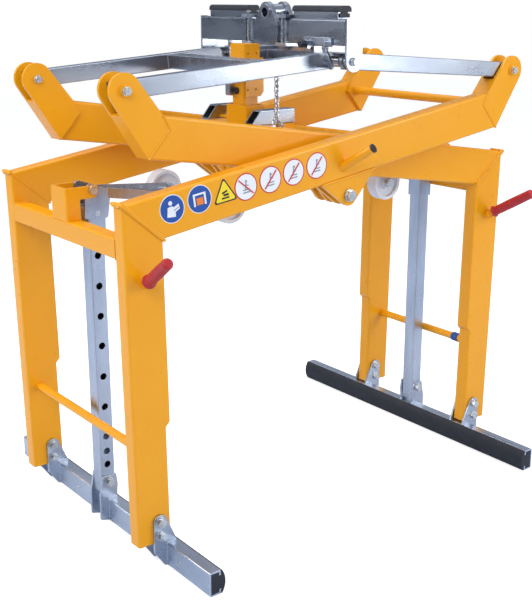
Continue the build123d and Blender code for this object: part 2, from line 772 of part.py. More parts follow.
def end_plates():
    """Plates that close the head and hold the link bolts."""
    x = end_plate_width / 2
    plate_top = head_ceiling + 2
    outline = hull_of(disc(0, head_pivot, x), polygon((-x, plate_top), (x, plate_top), (0, head_pivot)))
    plates = []
    for side in (front, back):
        plate = slab(outline, side * (head_half - end_plate), side * head_half)
        plates.append(plate - pin(0, head_pivot, side * (head_half - 20), side * (head_half + 5), link_pin))
    inner_y = inner_tab_y
    tab = hull_of(disc(0, head_pivot, 26), polygon((-26, head_floor), (26, head_floor), (0, head_pivot)))
    for side in (front, back):
        plate = slab(tab, side * (inner_y - 8), side * inner_y)
        plates.append(plate - pin(0, head_pivot, side * (inner_y - 20), side * (inner_y + 8), link_pin))
    return plates


def suspension_lugs():
    """Two plates with the suspension bore and the bush between them."""
    lugs = []
    foot = head_floor - clamp_thick
    w = lug_width / 2
    shoulder = head_ceiling - 22
    outline = hull_of(disc(0, lug_height, lug_top_radius),
                      polygon((-w, foot), (w, foot), (w, shoulder), (-w, shoulder)))
    facing = Plane(origin=(0, 0, 0), x_dir=(0, 1, 0), z_dir=(1, 0, 0))
    for start in (-lug_gap / 2 - lug_thick, lug_gap / 2):
        lugs.append(Pos(start, 0, 0) * extrude(facing * outline, amount=lug_thick))
    bush = bar_x(0, 0, lug_height, bush_radius, bush_length)
    bore = bar_x(0, 0, lug_height, lug_bore, bush_length + 10)
    shape = lugs[0] + lugs[1] + bush - bore
    tie = box(-lug_gap / 2, lug_gap / 2, -w + 6, w - 6, foot + 2, foot + 14)
    return shape + tie


def head_fasteners():
    """Clamp plates with their upright bolts beside the suspension plates, and the link bolts."""
    pieces = []
    nut = extrude(RegularPolygon(clamp_rod + 3.5, 6, major_radius=False), 4, both=True)
    rod_length = head_ceiling - head_floor + 44
    for side in (front, back):
        for x in (-clamp_rod_x, clamp_rod_x):
            rod = bar_z(x, side * clamp_rod_y, (head_floor + head_ceiling) / 2, clamp_rod, rod_length)
            for z in (head_ceiling + clamp_thick + 4, head_floor - clamp_thick - 4):
                rod += Pos(x, side * clamp_rod_y, z) * nut
            pieces.append(rod)
    for side in (front, back):
        pieces.append(bolt(0, head_pivot, side, inner_tab_y - 8, head_half, link_pin))
        for y0, y1 in link_spacers():
            ring = pin(0, head_pivot, side * y0, side * y1, 14)
            pieces.append(ring - pin(0, head_pivot, side * (y0 - 1), side * (y1 + 1), link_pin))
    return pieces


def link_spacers():
    """Y ranges of the rings between the tongues of the links on each link bolt."""
    inner_mid, outer_mid = inner_half - ear_depth / 2, outer_half - ear_depth / 2
    tongue = link_tongue / 2 + side_gap
    return ((inner_tab_y, inner_mid - tongue), (inner_mid + tongue, outer_mid - tongue),
            (outer_mid + tongue, head_half - end_plate))


def clamp_plates():
    """Pairs of flat plates that clamp the suspension plates to the head beams."""
    plates = []
    reach = clamp_rod_x + 10
    for side in (front, back):
        for z in (head_ceiling, head_floor - clamp_thick):
            y0, y1 = side * (lug_width / 2 + 1), side * (head_inner - 1)
            plate = box(-reach, reach, y0, y1, z, z + clamp_thick)
            for x in (-clamp_rod_x, clamp_rod_x):
                plate -= bar_z(x, side * clamp_rod_y, z, clamp_rod, 3 * clamp_thick)
            plates.append(plate)
        web = box(-head_width / 2 + 6, head_width / 2 - 6, side * (lug_width / 2), side * head_inner,
                  head_floor + 4, head_ceiling - 6)
        plates.append(web)
    return plates


def buffer_rails():
    """C-shaped rails on top of the head, open upwards."""
    rails = []
    x = buffer_width / 2
    for side in (front, back):
        y0, y1 = side * buffer_inner, side * buffer_outer
        rail = box(-x, x, y0, y1, head_ceiling, head_ceiling + 20)
        rail -= box(-x + 4, x - 4, y0 - side, y1 + side, head_ceiling + 4, head_ceiling + 16)
        rail -= box(-x + 12, x - 12, y0 - side, y1 + side, head_ceiling + 15, head_ceiling + 21)
        rails.append(rail)
    return rails


def buffers():
    """Rubber strips held in the rails."""
    strips = []
    x = buffer_width / 2
    top = head_ceiling + 20.3
    for side in (front, back):
        y0, y1 = side * (buffer_inner - 4), side * (buffer_outer + 4)
        crown = box(-x - 2, x + 2, y0, y1, top, top + buffer_crown)
        crown = fillet(edges_near(crown, Axis.Y, Axis.Z, top + buffer_crown), 12)
        neck = box(-x + 12.5, x - 12.5, y0, y1, head_ceiling + 15, top + 1)
        foot = box(-x + 4.5, x - 4.5, y0, y1, head_ceiling + 4.5, head_ceiling + 15.5)
        strips.append(crown + neck + foot)
    return strips


def latch_carrier():
    """Flat bar under the head with an arm that holds the latch housing."""
    y = inner_tab_y - 16
    z0, z1 = carrier_foot, head_floor - clamp_thick
    shape = box(-25, 25, -y, y, z0, z1)
    return shape + box(latch_x + housing_x / 2 + 3, -25, -housing_y / 2 - 8, housing_y / 2 + 8, z0, z1)


def latch_housing():
    """Square tube with an eight-sided lower flange and a foot that slides in the socket."""
    top = head_floor - clamp_thick + 8
    x, y = housing_x / 2, housing_y / 2
    body = box(latch_x - x, latch_x + x, -y, y, housing_foot, top)
    body = fillet(body.edges().filter_by(Axis.Z), 5)
    for side in (front, back):
        wing = polygon((latch_x - x + 6, wing_foot), (latch_x + x + 6, wing_foot),
                       (latch_x + x + 18, wing_foot + 14), (latch_x + x + 18, wing_top),
                       (latch_x - x + 6, wing_top))
        body += slab(wing, side * (y + 5), side * (y - 4))
    collar = box(latch_x - x - 3, latch_x + x + 3, -y - 8, y + 8, top - 60, top)
    collar = fillet(collar.edges().filter_by(Axis.Z), 6)
    body += collar
    body -= box(latch_x - x + 5, latch_x + x - 5, -y + 5, y - 5, housing_foot - 1, top - 70)
    for z in (top - 30, wing_foot + 22):
        for hole_x in (latch_x - 16, latch_x + 16):
            body -= pin(hole_x, z, -y - 20, -y + 8, 3)
    return body


def stop_pieces():
    """Black plug in the latch housing and the bumper beside the front head beam."""
    plug = bar_x(latch_x - housing_x / 2 - 3, lock_y - 14, lock_foot + 16, 11, 6)
    bumper = bar_x(-head_width / 2 - 30, bumper_y, head_floor + 2, bumper_radius, 22)
    bumper = fillet(bumper.edges().filter_by(GeomType.CIRCLE), 3)
    return [plug, bumper]


def stop_bracket():
    """Angle bracket and bolt on the front head beam that carry the bumper and the latch lever."""
    x = -head_width / 2
    low, plate_end = head_floor - 4, bumper_y - 106
    shape = box(x - 6, x, plate_end, bumper_y + 22, low, head_floor + 22)
    shape += box(x - 19, x - 6, bumper_y - 11, bumper_y + 11, low - 8, head_floor + 12)
    shape += bar_x(x - 14, plate_end + 16, head_floor + 8, 9, 20)
    facing = Plane(origin=(x - 14, 0, 0), x_dir=(0, 1, 0), z_dir=(1, 0, 0))
    lever = hull_of(disc(plate_end + 26, head_floor - 8, 8), disc(plate_end - 8, head_floor - 62, 8))
    shape += extrude(facing * lever, amount=7)
    return shape + box(x - 14, x, plate_end + 18, plate_end + 34, head_floor - 12, head_floor + 4)


def end_lock():
    """Zinc piece on the left side of the latch housing."""
    x = latch_x - housing_x / 2
    shape = box(x - 20, x, lock_y, lock_y + 22, lock_foot, lock_foot + 40)
    return fillet(shape.edges().filter_by(Axis.Y), 6)


# ---- centre ----
def pivot_bolts():
    """One bolt on each side through the four lug plates, with spacers between the plates."""
    pieces = []
    inner_end = inner_half - arm_thickness - side_gap
    plate_end = inner_end - bridge_plate - side_gap
    for side in (front, back):
        shape = bolt(0, 0, side, plate_end, outer_half + side_gap, pivot_pin)
        shape += pin(0, 0, side * (outer_half + side_gap), side * (outer_half + side_gap + 4), 20)
        for half in (outer_half, inner_half):
            y0 = half - lug_plate - 0.5
            y1 = half - arm_thickness + lug_plate + 0.5
            shape += pin(0, 0, side * y0, side * y1, 20)
        shape += pin(0, 0, side * (inner_half + 0.5), side * (outer_half - arm_thickness - 0.5), 22)
        pieces.append(shape)
    return pieces


def centre_bridge():
    """Tube across the grab with a plate down to each pivot bolt."""
    end = inner_half - arm_thickness - side_gap
    half = bridge_side / 2
    x0, x1 = bridge_x - half, bridge_x + half
    top = bridge_foot + bridge_side
    tube = box(x0, x1, -end + bridge_plate, end - bridge_plate, bridge_foot, top)
    shape = fillet(tube.edges().filter_by(Axis.Y), 5)
    shape -= box(x0 + 4, x1 - 4, -end + 30, end - 30, bridge_foot + 4, top - 4)
    outline = hull_of(disc(0, 0, 30), polygon((x0, top), (x0, bridge_foot), (x1, bridge_foot), (x1, top)))
    for side in (front, back):
        plate = slab(outline, side * end, side * (end - bridge_plate))
        shape += plate - pin(0, 0, side * (end + 5), side * (end - 20), pivot_pin)
        y0, y1 = side * (rest_y - rest_width / 2), side * (rest_y + rest_width / 2)
        shape += box(x0, bridge_x + 15, y0, y1, top - 1, rest_foot)
    return shape


def rest_tubes():
    """Short rectangular tubes beside the socket, cut at an angle at their open ends."""
    tubes = []
    for side in (front, back):
        y0, y1 = side * (rest_y - rest_width / 2), side * (rest_y + rest_width / 2)
        top = rest_foot + rest_height
        outline = polygon((rest_from, rest_foot), (rest_to, rest_foot), (rest_to, top),
                          (rest_from + rest_bevel, top))
        blank = slab(outline, y0, y1)
        blank = fillet(blank.edges().filter_by(Axis.X), 3)
        step = side * rest_wall
        tubes.append(blank - box(rest_from - 60, rest_to + 1, y0 + step, y1 - step,
                                 rest_foot + rest_wall, top - rest_wall))
    return tubes


def latch_socket():
    """Open box that the latch housing drops into, carried by a shelf between the rest tubes."""
    x, y = socket_x / 2, socket_y / 2
    shape = box(latch_x - x, latch_x + x, -y, y, socket_foot, socket_top)
    shape = fillet(shape.edges().filter_by(Axis.Z), 5)
    shape -= box(latch_x - x + 5, latch_x + x - 5, -y + 5, y - 5, socket_foot + 8, socket_top + 1)
    for side in (front, back):
        shape += box(latch_x - x + 6, latch_x + x - 6, side * (y - 1), side * (rest_y - rest_width / 2),
                     rest_foot + 6, rest_foot + 14)
    return shape


# ---- chain ----

def chain_link():
    """One link standing in X and Z."""
    bar, half = chain_wire, chain_wide / 2
    end = chain_long / 2 - half
    outer, inner = (hull_of(disc(0, end, radius), disc(0, -end, radius)) for radius in (half, half - 2 * bar))
    ring = slab(outer - inner, -bar, bar)
    return fillet(ring.edges(), bar * 0.6)


def chain():
    """Hanging chain with its spare links gathered on a ring at the end."""
    link = chain_link()
    pitch = chain_long - 4 * chain_wire + 0.6
    shape = Pos(chain_x, chain_y, chain_eye - chain_long / 2) * link
    for count in range(1, chain_links):
        turn = Rot(0, 0, 90 * (count % 2))
        shape += Pos(chain_x, chain_y, chain_eye - chain_long / 2 - count * pitch) * turn * link
    end_z = chain_eye - chain_long - (chain_links - 0.3) * pitch
    shape += Pos(chain_x, chain_y, end_z) * Rot(90, 0, 0) * Torus(ring_radius, 3)
    for angle in (20, 75, 130, 180, 235):
        round_x, round_z = ring_radius * cos(radians(angle)), ring_radius * sin(radians(angle))
        spot = Pos(chain_x + round_x, chain_y, end_z + round_z - 6)
        shape += spot * Rot(0, angle - 90, 70) * link
    return shape


def chain_shackle(half):
    """Eye on the inner side of the left link's front bar."""
    y0 = -(half - ear_depth / 2 - link_width / 2)
    plate = box(chain_x - 9, chain_x + 9, y0, y0 + 4, chain_eye - 12, chain_eye + 22)
    hang = chain_eye - 2 * chain_wire - eye_rod - 0.2
    return plate + pin(chain_x, hang, y0 + 2, chain_y + 9, eye_rod)


# ---- write every node ----
def unturned(shapes):
    """Pieces of the left-hand side, where they are."""
    return shapes


both_sides = (("left", unturned), ("right", mirrored))

arm("arm_a", outer_half, unturned)
arm("arm_b", inner_half, mirrored)

for (word, turn), half in zip(both_sides, (outer_half, inner_half)):
    save(f"jaw_{word}_rail", turn([jaw_rail()]))
    save(f"jaw_{word}_rubber", turn([jaw_rubber()]))
    save(f"jaw_{word}_brackets", turn(jaw_brackets(half)))
    save(f"jaw_{word}_bolts", turn(jaw_bolts(half)))
    save(f"strut_{word}_tube", strut_tube() if word == "left" else Rot(0, 0, 180) * strut_tube())
    save(f"strut_{word}_sleeve", turn([strut_sleeve()]))
    save(f"guide_{word}_frame", turn([guide_frame()]))
    save(f"guide_{word}_pins", turn(guide_pins()))
    for name, side in (("front", front), ("back", back)):
        save(f"roller_{word}_{name}", turn([roller(side)]))

save("link_right_frame", link_frame(outer_half))
save("link_left_frame", mirrored(link_frame(inner_half)) + [chain_shackle(inner_half)])
save("chain", chain())

save("head_beams", head_beams())
save("head_end_plates", end_plates())
save("suspension_lugs", suspension_lugs())
save("head_fasteners", head_fasteners())
save("head_clamp_plates", clamp_plates())
save("buffer_rails", buffer_rails())
save("buffers", buffers())
save("latch_carrier", latch_carrier())
save("latch_housing", latch_housing())
save("black_stops", stop_pieces())
save("stop_bracket", [stop_bracket(), end_lock()])

save("pivot_bolts", pivot_bolts())
save("centre_bridge", centre_bridge())
save("rest_tubes", rest_tubes())
save("latch_socket", latch_socket())
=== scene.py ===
import bpy
import bmesh
from math import atan2, cos, pi, radians, sin, tan
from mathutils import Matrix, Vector


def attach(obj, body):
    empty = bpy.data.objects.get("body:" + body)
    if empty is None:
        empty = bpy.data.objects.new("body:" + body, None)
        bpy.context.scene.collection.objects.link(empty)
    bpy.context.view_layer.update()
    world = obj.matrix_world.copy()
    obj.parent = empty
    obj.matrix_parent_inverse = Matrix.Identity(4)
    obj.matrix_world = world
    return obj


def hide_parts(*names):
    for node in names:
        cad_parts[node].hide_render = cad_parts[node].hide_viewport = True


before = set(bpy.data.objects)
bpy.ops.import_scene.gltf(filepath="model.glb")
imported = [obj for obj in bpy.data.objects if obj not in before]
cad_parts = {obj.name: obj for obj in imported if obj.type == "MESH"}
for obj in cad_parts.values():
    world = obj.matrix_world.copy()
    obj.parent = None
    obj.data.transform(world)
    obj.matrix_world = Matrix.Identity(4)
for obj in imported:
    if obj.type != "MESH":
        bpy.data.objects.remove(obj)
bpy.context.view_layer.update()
scene = bpy.context.scene

# the arms are drawn upright about the scissor pivot, in metres, and lean this much in the open grab
grab = {"pivotHeight": 1.030, "lean": 0.8, "legOuter": 0.797, "legWidth": 0.124, "armThickness": 0.052,
        "outerHalf": 0.371, "innerHalf": 0.294, "beamAngle": 8.0, "beamRise": 0.0565, "beamHeight": 0.124,
        "mitreWidth": 0.008, "mitreOverhang": 0.005}
slope = tan(radians(grab["beamAngle"]))
beamDrop = grab["beamHeight"] / cos(radians(grab["beamAngle"]))
halves = {"arm_a": grab["outerHalf"], "arm_b": grab["innerHalf"]}
jawOf = {"arm_a": "jaw_left", "arm_b": "jaw_right"}


def beamUnder(x):
    return grab["beamRise"] + slope * x


def beamOver(x):
    return beamUnder(x) + beamDrop


def armPoint(x, y, z, arm="arm_a"):
    # a point of the upright left-hand arm, where the open grab has it
    turn = radians(grab["lean"])
    px, pz = x * cos(turn) - z * sin(turn), z * cos(turn) + x * sin(turn)
    return Vector((px if arm == "arm_a" else -px, y, pz + grab["pivotHeight"]))


# ---- shader groups that several materials use ----
def newGroup(name, inputs, outputs):
    group = bpy.data.node_groups.new(name, "ShaderNodeTree")
    for label, kind, value in inputs:
        socket = group.interface.new_socket(label, in_out="INPUT", socket_type=kind)
        socket.default_value = value
    for label, kind in outputs:
        group.interface.new_socket(label, in_out="OUTPUT", socket_type=kind)
    return group, group.nodes.new("NodeGroupInput"), group.nodes.new("NodeGroupOutput")


def addNode(tree, kind, **settings):
    node = tree.nodes.new(kind)
    for key, value in settings.items():
        setattr(node, key, value)
    return node


def mapRange(tree, source, low, high, toLow=0.0, toHigh=1.0):
    node = addNode(tree, "ShaderNodeMapRange")
    for key, value in (("From Min", low), ("From Max", high), ("To Min", toLow), ("To Max", toHigh)):
        node.inputs[key].default_value = value
    tree.links.new(source, node.inputs["Value"])
    return node.outputs["Result"]


def buildCloudGroup():
    # soft uneven patches, for colour and gloss that vary over a surface
    tree, ins, outs = newGroup("surfaceClouds",
                               [("Scale", "NodeSocketFloat", 6.0), ("Stretch", "NodeSocketVector", (1, 1, 1)),
                                ("Contrast", "NodeSocketFloat", 1.0)], [("Mask", "NodeSocketFloat")])
    coords = addNode(tree, "ShaderNodeTexCoord")
    mapping = addNode(tree, "ShaderNodeMapping")
    noise = addNode(tree, "ShaderNodeTexNoise")
    noise.inputs["Detail"].default_value = 5.0
    noise.inputs["Roughness"].default_value = 0.6
    push = addNode(tree, "ShaderNodeMath", operation="MULTIPLY_ADD", use_clamp=True)
    centre = addNode(tree, "ShaderNodeMath", operation="SUBTRACT")
    centre.inputs[1].default_value = 0.5
    tree.links.new(coords.outputs["Object"], mapping.inputs["Vector"])
    tree.links.new(ins.outputs["Stretch"], mapping.inputs["Scale"])
    tree.links.new(mapping.outputs["Vector"], noise.inputs["Vector"])
    tree.links.new(ins.outputs["Scale"], noise.inputs["Scale"])
    tree.links.new(noise.outputs["Fac"], centre.inputs[0])
    tree.links.new(centre.outputs[0], push.inputs[0])
    tree.links.new(ins.outputs["Contrast"], push.inputs[1])
    push.inputs[2].default_value = 0.5
    tree.links.new(push.outputs[0], outs.inputs["Mask"])
    return tree


def buildEdgeGroup():
    # rounded normals at hard edges, and a mask that is 1 along them, where a painted highlight colour is laid
    tree, ins, outs = newGroup("softEdges", [("Radius", "NodeSocketFloat", 0.0015)],
                               [("Normal", "NodeSocketVector"), ("Edge", "NodeSocketFloat")])
    bevel = addNode(tree, "ShaderNodeBevel", samples=4)
    geometry = addNode(tree, "ShaderNodeNewGeometry")
    dot = addNode(tree, "ShaderNodeVectorMath", operation="DOT_PRODUCT")
    tree.links.new(ins.outputs["Radius"], bevel.inputs["Radius"])
    tree.links.new(bevel.outputs["Normal"], dot.inputs[0])
    tree.links.new(geometry.outputs["Normal"], dot.inputs[1])
    tree.links.new(bevel.outputs["Normal"], outs.inputs["Normal"])
    tree.links.new(mapRange(tree, dot.outputs["Value"], 0.98, 0.80), outs.inputs["Edge"])
    return tree


def buildGrainGroup():
    # fine height grain, the same in all directions or drawn out along one
    tree, ins, outs = newGroup("surfaceGrain",
                               [("Scale", "NodeSocketFloat", 400.0), ("Stretch", "NodeSocketVector", (1, 1, 1))],
                               [("Height", "NodeSocketFloat")])
    coords = addNode(tree, "ShaderNodeTexCoord")
    mapping = addNode(tree, "ShaderNodeMapping")
    noise = addNode(tree, "ShaderNodeTexNoise")
    noise.inputs["Detail"].default_value = 3.0
    tree.links.new(coords.outputs["Object"], mapping.inputs["Vector"])
    tree.links.new(ins.outputs["Stretch"], mapping.inputs["Scale"])
    tree.links.new(mapping.outputs["Vector"], noise.inputs["Vector"])
    tree.links.new(ins.outputs["Scale"], noise.inputs["Scale"])
    tree.links.new(noise.outputs["Fac"], outs.inputs["Height"])
    return tree


cloudGroup, edgeGroup, grainGroup = buildCloudGroup(), buildEdgeGroup(), buildGrainGroup()


def useGroup(tree, group, **values):
    node = addNode(tree, "ShaderNodeGroup", node_tree=group)
    for key, value in values.items():
        node.inputs[key].default_value = value
    return node


# ---- finishes ----
def makeFinish(name, look):
    # one Principled material with uneven colour and gloss, softened edges, a painted highlight colour along the edges
    # where one is given, and a fine grain
    material = bpy.data.materials.new(name)
    material.use_nodes = True
    tree = material.node_tree
    shader = tree.nodes["Principled BSDF"]
    for socket, key in (("Metallic", "metallic"), ("Coat Weight", "coat"), ("Coat Roughness", "coatRoughness"),
                        ("IOR", "ior"), ("Anisotropic", "anisotropic"), ("Specular IOR Level", "specular")):
        if key in look:
            shader.inputs[socket].default_value = look[key]
    clouds = useGroup(tree, cloudGroup, Scale=look["cloudScale"], Contrast=look.get("contrast", 2.0),
                      Stretch=look.get("cloudStretch", (1, 1, 1)))
    mix = addNode(tree, "ShaderNodeMix", data_type="RGBA")
    mix.inputs["A"].default_value = (*look["colour"], 1)
    mix.inputs["B"].default_value = (*look["colourTwo"], 1)
    tree.links.new(clouds.outputs["Mask"], mix.inputs["Factor"])
    colour = mix.outputs["Result"]
    edges = useGroup(tree, edgeGroup, Radius=look.get("edgeRadius", 0.0015))
    # a lighter colour mixed in along the hard edges: a painted highlight
    if "edgeHighlightColour" in look:
        edgeHighlight = addNode(tree, "ShaderNodeMix", data_type="RGBA")
        edgeHighlight.inputs["B"].default_value = (*look["edgeHighlightColour"], 1)
        tree.links.new(colour, edgeHighlight.inputs["A"])
        share = mapRange(tree, edges.outputs["Edge"], 0.0, 1.0, 0.0, look["edgeHighlightShare"])
        tree.links.new(share, edgeHighlight.inputs["Factor"])
        colour = edgeHighlight.outputs["Result"]
    tree.links.new(colour, shader.inputs["Base Color"])
    gloss = useGroup(tree, cloudGroup, Scale=look["cloudScale"] * 3.1, Contrast=1.6,
                     Stretch=look.get("cloudStretch", (1, 1, 1)))
    roughness = mapRange(tree, gloss.outputs["Mask"], 0.0, 1.0, *look["roughness"])
    tree.links.new(roughness, shader.inputs["Roughness"])
    grain = useGroup(tree, grainGroup, Scale=look["grainScale"], Stretch=look.get("grainStretch", (1, 1, 1)))
    bump = addNode(tree, "ShaderNodeBump")
    bump.inputs["Strength"].default_value = look["grainStrength"]
    bump.inputs["Distance"].default_value = look["grainDepth"]
    tree.links.new(grain.outputs["Height"], bump.inputs["Height"])
    tree.links.new(edges.outputs["Normal"], bump.inputs["Normal"])
    tree.links.new(bump.outputs["Normal"], shader.inputs["Normal"])
    return material


# the edge colours of the paint and the zinc are painted highlights along the hard edges
powderCoat = {"colour": (0.90, 0.385, 0.004), "colourTwo": (0.85, 0.345, 0.003), "cloudScale": 5.0,
              "contrast": 1.6, "roughness": (0.24, 0.36), "coat": 0.18, "coatRoughness": 0.10,
              "specular": 0.32, "edgeHighlightColour": (0.97, 0.56, 0.07), "edgeHighlightShare": 0.65, "edgeRadius": 0.0018,
              "grainScale": 420.0, "grainStrength": 0.10, "grainDepth": 0.0004}
zincPlate = {"colour": (0.56, 0.61, 0.69), "colourTwo": (0.36, 0.41, 0.50), "cloudScale": 7.0,
             "contrast": 2.6, "metallic": 1.0, "roughness": (0.20, 0.38), "anisotropic": 0.35,
             "edgeHighlightColour": (0.92, 0.95, 1.0), "edgeHighlightShare": 0.75, "edgeRadius": 0.0014,
             "grainScale": 220.0, "grainStrength": 0.06, "grainDepth": 0.0002}


def drawnZinc(name, stretch, tone=1.0):
    # sheet and tube drawn along one direction, so that stains and scratches run that way; the tone scales the zinc
    # colour, painting light into it above 1 and painted shade below 1
    paintedLightColours = {key: tuple(min(1.0, tone * part) for part in zincPlate[key]) for key in ("colour", "colourTwo")}
    return makeFinish(name, dict(zincPlate, cloudStretch=stretch, grainStretch=stretch, **paintedLightColours))


finishes = {
    "paint": makeFinish("yellowPowderCoat", powderCoat),
    # painted light and shade: the links and rest tubes take a shaded copy of the zinc, the jaw rails a lit copy, and
    # the head beams, lugs and buffer rails a darker shaded copy
    "zincXShaded": drawnZinc("zincAlongXShaded", (0.25, 1, 1), 0.74),
    "zincYLit": drawnZinc("zincAlongYLit", (1, 0.25, 1), 1.2),
    "zincHeadShaded": drawnZinc("zincHeadShaded", (1, 0.25, 1), 0.6),
    "zincZ": drawnZinc("zincAlongZ", (1, 1, 0.25)),
    "zinc": makeFinish("zincPressed", zincPlate),
    "bolt": makeFinish("zincBolt", dict(zincPlate, colour=(0.72, 0.73, 0.72), colourTwo=(0.52, 0.53, 0.54),
                                        cloudScale=60.0, roughness=(0.18, 0.34), edgeRadius=0.0008,
                                        grainScale=900.0)),
    "chain": makeFinish("zincChain", dict(zincPlate, colour=(0.66, 0.67, 0.68), colourTwo=(0.38, 0.40, 0.43),
                                          cloudScale=90.0, roughness=(0.18, 0.36), edgeRadius=0.0005,
                                          grainScale=900.0)),
    # the rubber's lighter edge colour is a painted highlight
    "rubber": makeFinish("blackRubber", {"colour": (0.008, 0.010, 0.017), "colourTwo": (0.016, 0.019, 0.029),
                                         "cloudScale": 14.0, "roughness": (0.42, 0.62), "grainScale": 700.0,
                                         "grainStrength": 0.35, "grainDepth": 0.0004, "edgeRadius": 0.002,
                                         "specular": 0.45, "edgeHighlightColour": (0.05, 0.056, 0.072),
                                         "edgeHighlightShare": 0.6}),
    "plastic": makeFinish("blackPlastic", {"colour": (0.012, 0.014, 0.020), "colourTwo": (0.020, 0.023, 0.030),
                                           "cloudScale": 30.0, "roughness": (0.25, 0.4),
                                           "grainScale": 1200.0, "grainStrength": 0.2,
                                           "grainDepth": 0.0002, "edgeRadius": 0.001}),
    "grip": makeFinish("redGrip", {"colour": (0.50, 0.018, 0.022), "colourTwo": (0.40, 0.012, 0.018),
                                   "cloudScale": 40.0, "roughness": (0.36, 0.5), "grainScale": 900.0,
                                   "grainStrength": 0.3, "grainDepth": 0.0003, "edgeRadius": 0.0012}),
    "nylon": makeFinish("whiteNylon", {"colour": (0.80, 0.82, 0.86), "colourTwo": (0.70, 0.72, 0.76),
                                       "cloudScale": 25.0, "roughness": (0.28, 0.45), "grainScale": 800.0,
                                       "grainStrength": 0.15, "grainDepth": 0.0002, "edgeRadius": 0.002}),
}


def signFilm(name, colour):
    # printed vinyl, slightly uneven in gloss
    return makeFinish(name, {"colour": colour, "colourTwo": tuple(0.9 * part for part in colour),
                             "cloudScale": 12.0, "contrast": 0.8, "roughness": (0.28, 0.4),
                             "grainScale": 500.0, "grainStrength": 0.06,
                             "grainDepth": 0.0002, "edgeRadius": 0.0003})


films = {"blue": signFilm("filmBlue", (0.008, 0.075, 0.36)),
         "yellow": signFilm("filmYellow", (0.95, 0.72, 0.01)),
         "black": signFilm("filmBlack", (0.012, 0.012, 0.014)),
         "white": signFilm("filmWhite", (0.86, 0.87, 0.88)), "red": signFilm("filmRed", (0.60, 0.02, 0.035)),
         "grey": signFilm("filmGrey", (0.30, 0.31, 0.34)),
         "orange": signFilm("filmOrange", (0.85, 0.22, 0.02))}
print("finishes made:", len(finishes) + len(films))


def nodeFinish(name):
    # which finish a CAD node takes, from its name
    rules = [("jaw_left_rail", "zincYLit"), ("jaw_right_rail", "zincYLit"), ("rubber", "rubber"), ("brackets", "zinc"),
             ("jaw_left_bolts", "bolt"), ("jaw_right_bolts", "bolt"), ("strut_", "zincZ"), ("_pins", "bolt"),
             ("guide_left", "zinc"), ("guide_right", "zinc"), ("roller_", "nylon"), ("link_", "zincXShaded"),
             ("ear_bolts", "bolt"), ("grip", "grip"), ("plug", "plastic"), ("arm_", "paint"), ("pivot_bolts", "bolt"),
             ("centre_bridge", "paint"), ("latch_socket", "paint"), ("rest_tubes", "zincXShaded"), ("head_fasteners", "bolt"),
             ("buffers", "rubber"), ("latch_housing", "paint"), ("black_stops", "plastic"), ("chain", "chain"),
             ("head_beams", "zincHeadShaded"), ("suspension_lugs", "zincHeadShaded"), ("buffer_rails", "zincHeadShaded")]
    for part, finish in rules:
        if part in name:
            return finishes[finish]
    return finishes["zinc"]


for nodeName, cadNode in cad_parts.items():
    for materialSlot in cadNode.material_slots:
        materialSlot.material = nodeFinish(nodeName)
print("CAD nodes given a finish:", len(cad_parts))


# ---- helpers for new pieces ----
def meshPiece(name, mesh, body):
    piece = bpy.data.objects.new(name, mesh)
    scene.collection.objects.link(piece)
    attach(piece, body)
    return piece


def smoothByAngle(mesh, angle=35):
    mesh.shade_smooth()
    mesh.set_sharp_from_angle(angle=radians(angle))


def applyNodes(name, tree, settings, source):
    # runs a Geometry Nodes tree on a source object and keeps the plain mesh
    modifier = source.modifiers.new(name, "NODES")
    modifier.node_group = tree
    for item in tree.interface.items_tree:
        if item.item_type == "SOCKET" and item.in_out == "INPUT" and item.name in settings:
            modifier[item.identifier] = settings[item.name]
    bpy.context.view_layer.update()
    depsgraph = bpy.context.evaluated_depsgraph_get()
    mesh = bpy.data.meshes.new_from_object(source.evaluated_get(depsgraph), depsgraph=depsgraph)
    mesh.name = name
    source.modifiers.remove(modifier)
    bpy.data.objects.remove(source)
    return mesh


def newGeometryTree(name, inputs):
    tree = bpy.data.node_groups.new(name, "GeometryNodeTree")
    tree.interface.new_socket("Geometry", in_out="INPUT", socket_type="NodeSocketGeometry")
    for label, kind, value in inputs:
        socket = tree.interface.new_socket(label, in_out="INPUT", socket_type=kind)
        if value is not None:
            socket.default_value = value
    tree.interface.new_socket("Geometry", in_out="OUTPUT", socket_type="NodeSocketGeometry")
    return tree, tree.nodes.new("NodeGroupInput"), tree.nodes.new("NodeGroupOutput")


def pathObject(name, paths):
    # a curve object with one straight-sided spline for each path; closed ones come as (points, True)
    curve = bpy.data.curves.new(name, "CURVE")
    curve.dimensions = "3D"
    for points, closed in paths:
        spline = curve.splines.new("POLY")
        spline.points.add(len(points) - 1)
        spline.use_cyclic_u = closed
        for target, place in zip(spline.points, points):
            target.co = (*place, 1)
    holder = bpy.data.objects.new(name, curve)
    scene.collection.objects.link(holder)
    return holder


# ---- weld beads ----
weld = {"radius": 0.0032, "jawRadius": 0.0024, "linkRadius": 0.0022, "step": 0.0022, "ripple": 0.16, "pitch": 0.0066}


